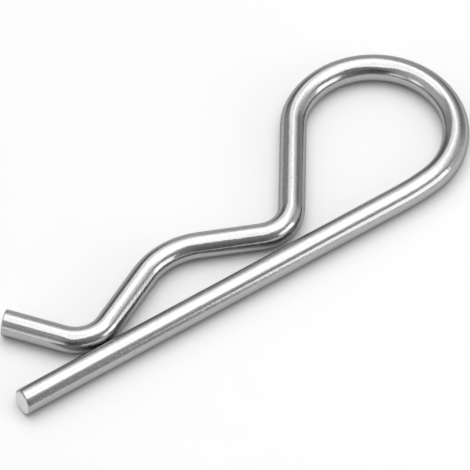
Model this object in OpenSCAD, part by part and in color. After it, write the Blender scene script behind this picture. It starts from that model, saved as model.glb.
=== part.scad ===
// R-shaped spring clip for a hitch pin or clevis pin: one length of round spring wire, bent in one plane.
// The straight leg goes through the cross hole of a shaft, and the wavy leg snaps over the outside of it.
// Origin: on the axis of the straight leg, where the axis of the shaft crosses it.
// +X runs along the straight leg to the head, +Y to the wavy leg, and +Z along the shaft.

/* [Wire] */
// Diameter of the wire
wire_d = 4; // [3:0.1:5]
// Radius that takes the burr off the edge of both cut ends
end_edge_r = 0.3; // [0.1:0.05:0.8]

/* [Straight leg] */
// From the middle of the shaft to the tip of the straight leg
tip_reach = 33; // [26:0.5:60]

/* [Head] */
// From the middle of the shaft to the outermost point of the head
head_reach = 52.5; // [46:0.5:75]
// Inside radius of the head, which is also the finger ring
head_inside_r = 10.25; // [8.5:0.25:12]
// Inside radius of the gentle curve that leads from the straight leg into the head
lead_inside_r = 38; // [20:1:60]
// Angle that the gentle curve turns through
lead_angle = 8; // [2:1:20]
// Inside radius of the last part of the head, which closes in to the neck
closing_inside_r = 8.25; // [6:0.25:10]
// Direction of the wire, turned from the straight leg's, where that last part begins
closing_from = 210; // [190:1:220]

/* [Neck] */
// From the middle of the shaft to the middle of the neck bend
neck_offset = 15.5; // [13:0.25:20]
// Gap between the two legs at the neck
neck_gap = 1.2; // [0.6:0.1:3]
// Inside radius of the neck bend
neck_inside_r = 3.5; // [2.5:0.25:5]

/* [Shaft seat] */
// Height of the inside of the arch above the axis of the straight leg: the shaft's radius, less the spring
seat_height = 8.5; // [7.5:0.25:11]
// Inside radius of the arch that grips the shaft
seat_inside_r = 9.5; // [7.5:0.25:11]

/* [Throat] */
// From the middle of the shaft to the middle of the throat bend
throat_offset = 17; // [15:0.25:22]
// Gap between the two legs at the throat, before the spring opens
throat_gap = 0.2; // [0.1:0.05:2]
// Inside radius of the throat bend
throat_inside_r = 3.5; // [2.5:0.25:5]

/* [Flared end] */
// Angle between the flared end and the straight leg
flare_angle = 53; // [35:1:70]
// Length of the straight wire in the flared end
flare_length = 9.25; // [5:0.25:16]

/* [Hidden] */

wire_r = wire_d / 2;
wire_fn = 96;
bend_fn = 360;

// Radii of the wire's centreline through each bend
head_r = head_inside_r + wire_r;
lead_r = lead_inside_r + wire_r;
closing_r = closing_inside_r + wire_r;
neck_r = neck_inside_r + wire_r;
seat_r = seat_inside_r + wire_r;
throat_r = throat_inside_r + wire_r;

// Unit vector to the right of a direction: a left bend has its centre on the other side
function right_of(direction) = [sin(direction), -cos(direction)];

// Centre of each bend
head_x = head_reach - wire_r - head_r;
lead_x = head_x - (lead_r - head_r) * sin(lead_angle);
head_centre = [head_x, lead_r - (lead_r - head_r) * cos(lead_angle)];
closing_centre = head_centre + (head_r - closing_r) * right_of(closing_from);
neck_centre = [neck_offset, wire_d + neck_gap + neck_r];
seat_centre = [0, seat_height + wire_r - seat_r];
throat_centre = [-throat_offset, wire_d + throat_gap + throat_r];

// Direction and length of the straight wire that is tangent to two bends turning opposite ways.
// turn is 1 from a left bend to a right bend, and -1 from a right bend to a left bend.
function bearing(from, to) = (atan2(to.y - from.y, to.x - from.x) + 360) % 360;
function tangent_direction(from, to, radii, turn) = bearing(from, to) + turn * asin(radii / norm(to - from));
function tangent_length(from, to, radii) = sqrt(pow(norm(to - from), 2) - pow(radii, 2));

to_neck = tangent_direction(closing_centre, neck_centre, closing_r + neck_r, 1);
to_seat = tangent_direction(neck_centre, seat_centre, neck_r + seat_r, -1);
to_throat = tangent_direction(seat_centre, throat_centre, seat_r + throat_r, 1);
to_flare = 180 - flare_angle;

// The bend chart: the wire from the tip of the straight leg to the flared end.
// A straight has its length, and a bend its radius and its angle, positive to the left.
STRAIGHT = 0;
BEND = 1;
bend_chart = [
  [STRAIGHT, tip_reach + lead_x],
  [BEND, lead_r, lead_angle],
  [BEND, head_r, closing_from - lead_angle],
  [BEND, closing_r, to_neck - closing_from],
  [STRAIGHT, tangent_length(closing_centre, neck_centre, closing_r + neck_r)],
  [BEND, neck_r, to_seat - to_neck],
  [STRAIGHT, tangent_length(neck_centre, seat_centre, neck_r + seat_r)],
  [BEND, seat_r, to_throat - to_seat],
  [STRAIGHT, tangent_length(seat_centre, throat_centre, seat_r + throat_r)],
  [BEND, throat_r, to_flare - to_throat],
  [STRAIGHT, flare_length]
];

// The chain of bends is drawn at a hundredth of its size and then scaled up.
// The rounding that each turned frame brings then stays too small to open a joint between two pieces.
reduction = 100;
small_r = wire_r / reduction;
small_edge_r = end_edge_r / reduction;

// Half section of a rod along +Y, with its edge rounded at the start or at the end
module rod_profile(length, rounded_start) {
  square([small_r - small_edge_r, length]);
  translate([0, rounded_start ? small_edge_r : 0])
    square([small_r, length - small_edge_r]);
  translate([small_r - small_edge_r, rounded_start ? small_edge_r : length - small_edge_r])
    circle(r = small_edge_r, $fn = wire_fn);
}

// Straight wire along +X. The first and the last one in the chart have a cut end.
module straight(length, first, last) {
  rotate([0, 90, 0])
    rotate([0, 0, -90])
      if (first || last)
        rotate_extrude($fn = wire_fn)
          rod_profile(length, first);
      else
        cylinder(r = small_r, h = length, $fn = wire_fn);
}

// Bent wire that starts along +X
module bend(radius, angle) {
  side = sign(angle);
  translate([0, side * radius, 0])
    rotate([0, 0, -side * 90])
      rotate_extrude(angle = angle, $fn = bend_fn)
        translate([radius, 0])
          rotate(side > 0 ? 0 : 180)
            circle(r = small_r, $fn = wire_fn);
}

// Moves to the end of a step, so that the next one starts there along +X
module after(step) {
  size = step[1] / reduction;
  if (step[0] == STRAIGHT)
    translate([size, 0, 0])
      children();
  else
    translate([0, sign(step[2]) * size, 0])
      rotate([0, 0, step[2]])
        translate([0, -sign(step[2]) * size, 0])
          children();
}

// The wire from one step of the bend chart to the last, each step in the frame of the one before
module wire_from(i) {
  step = bend_chart[i];
  last = i == len(bend_chart) - 1;
  if (step[0] == STRAIGHT)
    straight(step[1] / reduction, i == 0, last);
  else
    bend(step[1] / reduction, step[2]);
  if (!last)
    after(step)
      wire_from(i + 1);
}

module wire_clip() {
  color("silver")
    translate([-tip_reach, 0, 0])
      scale(reduction)
        wire_from(0);
}

wire_clip();
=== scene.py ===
"""Looks of the hitch clip pin: one length of bright drawn spring wire, lying on a pale studio floor."""

import math

import bpy
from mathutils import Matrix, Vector


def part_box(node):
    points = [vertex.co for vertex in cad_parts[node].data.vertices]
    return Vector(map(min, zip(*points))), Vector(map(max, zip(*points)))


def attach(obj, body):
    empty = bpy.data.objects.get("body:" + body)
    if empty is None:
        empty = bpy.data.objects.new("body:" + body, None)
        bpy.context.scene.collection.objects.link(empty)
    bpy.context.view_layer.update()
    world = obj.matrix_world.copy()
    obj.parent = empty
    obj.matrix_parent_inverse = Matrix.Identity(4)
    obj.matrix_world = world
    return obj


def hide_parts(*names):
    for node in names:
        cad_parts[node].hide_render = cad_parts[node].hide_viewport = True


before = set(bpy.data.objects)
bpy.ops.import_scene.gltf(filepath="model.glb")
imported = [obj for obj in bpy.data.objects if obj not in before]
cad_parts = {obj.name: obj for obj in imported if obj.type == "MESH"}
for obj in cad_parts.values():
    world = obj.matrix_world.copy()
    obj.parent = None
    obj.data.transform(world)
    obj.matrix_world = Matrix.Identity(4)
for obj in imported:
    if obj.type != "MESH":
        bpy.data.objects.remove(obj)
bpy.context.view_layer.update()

MM = 0.001

# ---------------------------------------------------------------- sizes, as in part.scad

lowest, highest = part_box("wire_clip")
WIRE_R = -lowest[1]
TIP_REACH = -lowest[0]
HEAD_REACH = highest[0]
END_EDGE_R = 0.3 * MM
HEAD_INSIDE_R = 10.25 * MM
LEAD_INSIDE_R = 38 * MM
LEAD_ANGLE = math.radians(8)
CLOSING_INSIDE_R = 8.25 * MM
CLOSING_FROM = math.radians(210)
NECK_OFFSET = 15.5 * MM
NECK_GAP = 1.2 * MM
NECK_INSIDE_R = 3.5 * MM
SEAT_HEIGHT = 8.5 * MM
SEAT_INSIDE_R = 9.5 * MM
THROAT_OFFSET = 17 * MM
THROAT_GAP = 0.2 * MM
THROAT_INSIDE_R = 3.5 * MM
FLARE_ANGLE = math.radians(53)
FLARE_LENGTH = 9.25 * MM

# ---------------------------------------------------------------- the bend chart

# Which way the wire turns before a straight and after it
LEFT_TO_RIGHT = 1
RIGHT_TO_LEFT = -1


def along(heading):
    """Unit vector of a heading in the plane of the clip."""
    return Vector((math.cos(heading), math.sin(heading)))


def right_of(heading):
    """Unit vector to the right of a heading in the plane of the clip."""
    return Vector((math.sin(heading), -math.cos(heading)))


def tangent(start, end, radii, turn):
    """Heading and length of the straight wire between two bends that turn opposite ways.

    The bends are given by their centres and the sum of their radii."""
    step = end - start
    heading = math.atan2(step.y, step.x) % math.tau + turn * math.asin(radii / step.length)
    return heading, math.sqrt(step.length_squared - radii**2)


def bend_chart():
    """The steps of the wire from the straight leg's tip: (length, 0) or (radius, angle to the left)."""
    head_r = HEAD_INSIDE_R + WIRE_R
    lead_r = LEAD_INSIDE_R + WIRE_R
    closing_r = CLOSING_INSIDE_R + WIRE_R
    neck_r = NECK_INSIDE_R + WIRE_R
    seat_r = SEAT_INSIDE_R + WIRE_R
    throat_r = THROAT_INSIDE_R + WIRE_R
    head_x = HEAD_REACH - WIRE_R - head_r
    lead_x = head_x - (lead_r - head_r) * math.sin(LEAD_ANGLE)
    head_centre = Vector((head_x, lead_r - (lead_r - head_r) * math.cos(LEAD_ANGLE)))
    closing_centre = head_centre + (head_r - closing_r) * right_of(CLOSING_FROM)
    neck_centre = Vector((NECK_OFFSET, 2 * WIRE_R + NECK_GAP + neck_r))
    seat_centre = Vector((0, SEAT_HEIGHT + WIRE_R - seat_r))
    throat_centre = Vector((-THROAT_OFFSET, 2 * WIRE_R + THROAT_GAP + throat_r))
    to_neck, closing_run = tangent(closing_centre, neck_centre, closing_r + neck_r, LEFT_TO_RIGHT)
    to_seat, neck_run = tangent(neck_centre, seat_centre, neck_r + seat_r, RIGHT_TO_LEFT)
    to_throat, seat_run = tangent(seat_centre, throat_centre, seat_r + throat_r, LEFT_TO_RIGHT)
    to_flare = math.pi - FLARE_ANGLE
    return [
        (TIP_REACH + lead_x, 0),
        (lead_r, LEAD_ANGLE),
        (head_r, CLOSING_FROM - LEAD_ANGLE),
        (closing_r, to_neck - CLOSING_FROM),
        (closing_run, 0),
        (neck_r, to_seat - to_neck),
        (neck_run, 0),
        (seat_r, to_throat - to_seat),
        (seat_run, 0),
        (throat_r, to_flare - to_throat),
        (FLARE_LENGTH, 0),
    ]


# How far apart the stations along the axis are
STRAIGHT_STEP = 1.5 * MM
BEND_STEP = math.radians(2)


def onward(point, heading, size, angle):
    """Where a step of the bend chart leads from a point: (point, heading, length of wire used)."""
    if not angle:
        return point + size * along(heading), heading, size
    side = math.copysign(1, angle)
    centre = point - side * size * right_of(heading)
    turned = heading + angle
    return centre + side * size * right_of(turned), turned, size * abs(angle)


def centreline():
    """Stations along the wire's axis: (point, heading, distance from the straight leg's tip)."""
    point, heading, distance = Vector((-TIP_REACH, 0)), 0.0, 0.0
    stations = [(point, heading, distance)]
    for size, angle in bend_chart():
        count = max(1, round(abs(angle) / BEND_STEP if angle else size / STRAIGHT_STEP))
        for i in range(1, count + 1):
            share = i / count
            part = (size, angle * share) if angle else (size * share, 0)
            at, turned, used = onward(point, heading, *part)
            stations.append((at, turned, distance + used))
        point, heading, distance = stations[-1]
    return stations


# ---------------------------------------------------------------- the wire

RING_POINTS = 96
EDGE_STEPS = 8
FACE_RINGS = 6
# The cut ends have their own rings, so no other ring comes nearer to them than this
END_MARGIN = STRAIGHT_STEP / 2
# The edge of the flared end is left sharper than the tip's
FLARE_EDGE_R = 0.2 * MM
# The ends were cropped a little askew. A slope says how much further a cut face reaches along the wire
# for each unit to the wire's right, and for each unit upwards
SQUARE = Vector((0, 0))
TIP_SLOPE = Vector((-math.tan(math.radians(2.5)), math.tan(math.radians(4.5))))
END_SLOPE = Vector((math.tan(math.radians(5)), 0))


def cut_end(edge_r):
    """Rings of a cut end from its middle outwards: (radius, depth behind the face, share of cut face)."""
    flat_r = WIRE_R - edge_r
    rings = [(flat_r * i / FACE_RINGS, 0.0, 1.0) for i in range(1, FACE_RINGS + 1)]
    for i in range(1, EDGE_STEPS + 1):
        turned = math.pi / 2 * i / EDGE_STEPS
        rings.append((flat_r + edge_r * math.sin(turned), edge_r * (1 - math.cos(turned)), 0.0))
    return rings


def wire_sections():
    """Every ring of the wire in order: (centre, heading, distance, radius, share of cut face, slope)."""
    stations = centreline()
    tip, first_heading, _ = stations[0]
    end, last_heading, length = stations[-1]
    # The tip's sloping face is set back, so that it keeps inside the solid's length
    setback = TIP_SLOPE.length * WIRE_R
    sections = []
    for radius, depth, cut in cut_end(END_EDGE_R):
        distance = setback + depth
        centre = tip + along(first_heading) * distance
        sections.append((centre, first_heading, distance, radius, cut, TIP_SLOPE))
    for point, heading, distance in stations:
        if END_MARGIN < distance < length - END_MARGIN:
            sections.append((point, heading, distance, WIRE_R, 0.0, SQUARE))
    for radius, depth, cut in reversed(cut_end(FLARE_EDGE_R)):
        centre = end - along(last_heading) * depth
        sections.append((centre, last_heading, length - depth, radius, cut, END_SLOPE))
    return sections


def wire_points(sections):
    """Points of the tube, ring by ring, and then the middle of each cut face.

    With each point goes its place on the straightened wire, in mm to the right, upwards and along,
    and its share of cut face."""
    points, places, cuts = [], [], []
    for centre, heading, distance, radius, cut, slope in sections:
        for i in range(RING_POINTS):
            around = math.tau * i / RING_POINTS
            out, up = radius * math.cos(around), radius * math.sin(around)
            on = slope.x * out + slope.y * up
            point = centre + right_of(heading) * out + along(heading) * on
            points.append((point.x, point.y, up))
            places.append((out / MM, up / MM, (distance + on) / MM))
            cuts.append(cut)
    for centre, _, distance, _, cut, _ in (sections[0], sections[-1]):
        points.append((centre.x, centre.y, 0))
        places.append((0, 0, distance / MM))
        cuts.append(cut)
    return points, places, cuts


def wire_faces(ring_count):
    """Faces between neighbouring rings, and a fan round the middle of each cut face."""
    faces = []
    for ring in range(ring_count - 1):
        for i in range(RING_POINTS):
            a = ring * RING_POINTS + i
            b = ring * RING_POINTS + (i + 1) % RING_POINTS
            faces.append((a, a + RING_POINTS, b + RING_POINTS, b))
    last_ring = (ring_count - 1) * RING_POINTS
    middle_of_tip = ring_count * RING_POINTS
    middle_of_end = middle_of_tip + 1
    for i in range(RING_POINTS):
        j = (i + 1) % RING_POINTS
        faces.append((middle_of_tip, i, j))
        faces.append((middle_of_end, last_ring + j, last_ring + i))
    return faces


def mesh_object(name, points, faces, material):
    """A mesh of one material, put in the scene."""
    mesh = bpy.data.meshes.new(name)
    mesh.from_pydata(points, [], faces)
    mesh.materials.append(material)
    piece = bpy.data.objects.new(name, mesh)
    bpy.context.collection.objects.link(piece)
    return piece


def wire_clip(material):
    """The whole clip as one swept tube, with the attributes that its material reads."""
    sections = wire_sections()
    points, places, cuts = wire_points(sections)
    piece = mesh_object("clip_wire", points, wire_faces(len(sections)), material)
    mesh = piece.data
    place = mesh.attributes.new("place_on_wire", "FLOAT_VECTOR", "POINT")
    place.data.foreach_set("vector", [x for p in places for x in p])
    cut_face = mesh.attributes.new("cut_face", "FLOAT", "POINT")
    cut_face.data.foreach_set("value", cuts)
    mesh.shade_smooth()
    return piece


# ---------------------------------------------------------------- node helpers


def new_material(name):
    """A node material: (material, its node tree, its Principled shader)."""
    material = bpy.data.materials.new(name)
    material.use_nodes = True
    return material, material.node_tree, material.node_tree.nodes["Principled BSDF"]


def feed(tree, value, socket):
    """Link another node's output to a socket, or put a number into it."""
    if isinstance(value, bpy.types.NodeSocket):
        tree.links.new(value, socket)
    else:
        socket.default_value = value


def attribute(tree, name):
    """A mesh attribute's node."""
    node = tree.nodes.new("ShaderNodeAttribute")
    node.attribute_name = name
    return node


def stretched_noise(tree, coordinates, scale, detail):
    """Noise with its own number of features per unit along each axis of the coordinates."""
    mapping = tree.nodes.new("ShaderNodeMapping")
    mapping.inputs["Scale"].default_value = scale
    tree.links.new(coordinates, mapping.inputs["Vector"])
    noise = tree.nodes.new("ShaderNodeTexNoise")
    noise.inputs["Scale"].default_value = 1.0
    noise.inputs["Detail"].default_value = detail
    tree.links.new(mapping.outputs["Vector"], noise.inputs["Vector"])
    return noise.outputs["Fac"]


def spread(tree, value, range_in, range_out, interpolation="LINEAR"):
    """The value carried over from one range to another, and held within it."""
    node = tree.nodes.new("ShaderNodeMapRange")
    node.interpolation_type = interpolation
    node.inputs["From Min"].default_value, node.inputs["From Max"].default_value = range_in
    node.inputs["To Min"].default_value, node.inputs["To Max"].default_value = range_out
    tree.links.new(value, node.inputs["Value"])
    return node.outputs["Result"]


def mixed(tree, share, a, b):
    """The value a where share is 0, and b where it is 1. Each may be a number."""
    node = tree.nodes.new("ShaderNodeMix")
    feed(tree, share, node.inputs["Factor"])
    feed(tree, a, node.inputs["A"])
    feed(tree, b, node.inputs["B"])
    return node.outputs["Result"]


def raised(tree, value, share, amount):
    """The value with a share of the amount added."""
    node = tree.nodes.new("ShaderNodeMath")
    node.operation = "MULTIPLY_ADD"
    for term, socket in zip((share, amount, value), node.inputs):
        feed(tree, term, socket)
    return node.outputs["Value"]


def greys(tree, value, dark, light):
    """A grey between two levels."""
    ramp = tree.nodes.new("ShaderNodeValToRGB")
    ramp.color_ramp.elements[0].color = (dark, dark, dark, 1)
    ramp.color_ramp.elements[1].color = (light, light, light, 1)
    tree.links.new(value, ramp.inputs["Fac"])
    return ramp.outputs["Color"]


# ---------------------------------------------------------------- materials

# Features per mm to the wire's right, upwards and along it
LINES_PER_MM = (6, 6, 0.1)
HAIRS_PER_MM = (16, 16, 0.5)
SPECKS_PER_MM = (4, 4, 3.2)
SHEAR_MARKS_PER_MM = (5, 0.7, 1)
# Most of a noise's values, and most of a mix of noises
NOISE_RANGE = (0.3, 0.7)
MIX_RANGE = (0.36, 0.64)

HAIRS_IN_MARKS = 0.4
SPECKS_IN_TONE = 0.4
SPECKS_IN_RELIEF = 0.75
WIRE_GREYS = (0.36, 0.49)
CUT_GREYS = (0.74, 0.92)
WIRE_ROUGHNESS = (0.08, 0.2)
CUT_ADDED_ROUGHNESS = 0.35
RELIEF_HEIGHT = 0.014 * MM
GRAZING_GREY = 0.5

FLOOR_GREYS = (0.85, 0.87)
FLOOR_MOTTLES_PER_M = (40, 40, 40)


def bright_drawn_wire():
    """Bright plated wire: fine lines drawn along it, short faint specks, and duller sheared ends."""
    material, tree, shader = new_material("bright_wire")
    place = attribute(tree, "place_on_wire").outputs["Vector"]
    cut = attribute(tree, "cut_face").outputs["Fac"]

    lines = stretched_noise(tree, place, LINES_PER_MM, detail=3)
    hairs = stretched_noise(tree, place, HAIRS_PER_MM, detail=2)
    specks = stretched_noise(tree, place, SPECKS_PER_MM, detail=3)
    shear_marks = stretched_noise(tree, place, SHEAR_MARKS_PER_MM, detail=3)
    marks = mixed(tree, HAIRS_IN_MARKS, lines, hairs)

    tone = mixed(tree, SPECKS_IN_TONE, marks, specks)
    wire_grey = spread(tree, tone, MIX_RANGE, WIRE_GREYS)
    cut_grey = spread(tree, shear_marks, NOISE_RANGE, CUT_GREYS)
    tree.links.new(greys(tree, mixed(tree, cut, wire_grey, cut_grey), 0.0, 1.0), shader.inputs["Base Color"])

    wire_roughness = spread(tree, specks, NOISE_RANGE, WIRE_ROUGHNESS)
    tree.links.new(raised(tree, wire_roughness, cut, CUT_ADDED_ROUGHNESS), shader.inputs["Roughness"])

    relief = mixed(tree, SPECKS_IN_RELIEF, marks, specks)
    bump = tree.nodes.new("ShaderNodeBump")
    bump.inputs["Strength"].default_value = 1.0
    bump.inputs["Distance"].default_value = RELIEF_HEIGHT
    tree.links.new(mixed(tree, cut, relief, shear_marks), bump.inputs["Height"])
    tree.links.new(bump.outputs["Normal"], shader.inputs["Normal"])

    shader.inputs["Metallic"].default_value = 1.0
    shader.inputs["Specular Tint"].default_value = (GRAZING_GREY, GRAZING_GREY, GRAZING_GREY, 1)
    return material


def pale_floor_paper():
    """Smooth studio paper with a barely visible mottle."""
    material, tree, shader = new_material("floor_paper")
    coordinates = tree.nodes.new("ShaderNodeTexCoord")
    mottle = stretched_noise(tree, coordinates.outputs["Object"], FLOOR_MOTTLES_PER_M, detail=3)
    tree.links.new(greys(tree, mottle, *FLOOR_GREYS), shader.inputs["Base Color"])
    shader.inputs["Roughness"].default_value = 0.9
    shader.inputs["Specular IOR Level"].default_value = 0.0
    return material


# ---------------------------------------------------------------- studio

UP = Vector((0, 0, 1))
FLOOR_HALF = 4.0

# Brightness is linear, and 1 shows as pure white. A lamp adds its own to what is behind it
ROOM_BRIGHTNESS = 0.47
# (azimuth, elevation, radius of the even part, radius where it has faded out, brightness); angles in degrees
ROOM_PATCHES = [
    # The paler walls and ceiling to the left, at the back and to the right
    (-115, 36, 14, 42, 0.8),
    (160, 45, 9, 20, 1.65),
    (100, 52, 12, 36, 0.85),
    (148, 14, 8, 26, 0.7),
    # The dark room below the camera, darkest a little to its left and near the floor
    (-18, 24, 14, 42, 0.31),
    (-27, 22, 8, 24, 0.2),
    (-42, 23, 6, 22, 0.13),
    (-15, 10, 3, 12, 0.18),
    # A dark opening low at the back
    (174, 10, 6, 19, 0.22),
    # Pale and dark things low on the right
    (65, 12, 8, 24, 0.8),
    (115, 20, 4, 14, 0.25),
    (104, 28, 6, 16, 0.33),
    # Two small bright things low on the left
    (-66, 8, 6, 16, 1.3),
    (-92, 14, 4, 13, 2.0),
    # Spill above and beside the side softbox
    (38, 57, 4, 13, 0.85),
    (52, 23, 4, 16, 0.95),
]

CAMERA_AZIMUTH = -34.06
CAMERA_ELEVATION = 52.65
CAMERA_DISTANCE = 1401 * MM
CAMERA_AIM = Vector((10.42, 8.40, -0.42)) * MM
SENSOR_MM = 36.0
LENS_MM = 724.6


def floor():
    """A pale floor at the underside of the wire."""
    corners = [(x * FLOOR_HALF, y * FLOOR_HALF, -WIRE_R) for x, y in ((-1, -1), (1, -1), (1, 1), (-1, 1))]
    plane = mesh_object("studio_floor", corners, [(0, 1, 2, 3)], pale_floor_paper())


def towards(azimuth, elevation):
    """Unit vector from the object towards a place. Azimuth 0 is at -Y and 90 at +X."""
    turned, raised_by = math.radians(azimuth), math.radians(elevation)
    level = math.cos(raised_by)
    return Vector((math.sin(turned) * level, -math.cos(turned) * level, math.sin(raised_by)))


def put(name, data, back, place):
    """A lamp or camera in the scene, with its back turned to a direction."""
    thing = bpy.data.objects.new(name, data)
    thing.location = place
    thing.rotation_mode = "QUATERNION"
    thing.rotation_quaternion = back.to_track_quat("Z", "Y")
    bpy.context.collection.objects.link(thing)
    return thing


def softbox(name, back, place, width, height, brightness):
    """A rectangular lamp, in metres. Its power follows from the brightness of its face."""
    lamp = bpy.data.lights.new(name, "AREA")
    lamp.shape = "RECTANGLE"
    lamp.size, lamp.size_y = width, height
    lamp.energy = brightness * width * height * math.pi
    put(name, lamp, back, place).visible_camera = False


def lamps():
    """A softbox overhead with dimmer spill round it, and a small one near the clip on the right."""
    softbox("overhead_softbox", UP, Vector((0.1, 0.115, 1.0)), width=1.06, height=1.13, brightness=1.12)
    softbox("overhead_spill", UP, Vector((0.26, 0.16, 1.25)), width=1.62, height=1.38, brightness=0.58)
    side = towards(40, 19)
    softbox("side_softbox", side, side * 0.28, width=0.168, height=0.14, brightness=1.75)


def room_light():
    """The rest of the room: one grey, with soft round patches that are lighter or darker."""
    world = bpy.data.worlds.new("room")
    world.use_nodes = True
    tree = world.node_tree
    direction = tree.nodes.new("ShaderNodeTexCoord").outputs["Generated"]
    glow = ROOM_BRIGHTNESS
    for azimuth, elevation, inner, outer, brightness in ROOM_PATCHES:
        lean = tree.nodes.new("ShaderNodeVectorMath")
        lean.operation = "DOT_PRODUCT"
        lean.inputs[1].default_value = towards(azimuth, elevation)
        tree.links.new(direction, lean.inputs[0])
        edges = math.cos(math.radians(outer)), math.cos(math.radians(inner))
        share = spread(tree, lean.outputs["Value"], edges, (0, 1), "SMOOTHSTEP")
        glow = mixed(tree, share, glow, brightness)
    tree.links.new(glow, tree.nodes["Background"].inputs["Color"])
    bpy.context.scene.world = world


def camera():
    """A long lens that looks down on the clip from the front left."""
    data = bpy.data.cameras.new("camera")
    data.sensor_width = SENSOR_MM
    data.lens = LENS_MM
    data.clip_start, data.clip_end = 0.1, 20.0
    back = towards(CAMERA_AZIMUTH, CAMERA_ELEVATION)
    bpy.context.scene.camera = put("camera", data, back, CAMERA_AIM + back * CAMERA_DISTANCE)


# ---------------------------------------------------------------- the scene

clip = wire_clip(bright_drawn_wire())
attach(clip, "root")
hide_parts("wire_clip")

floor()
lamps()
room_light()
camera()
bpy.context.scene.view_settings.view_transform = "Standard"
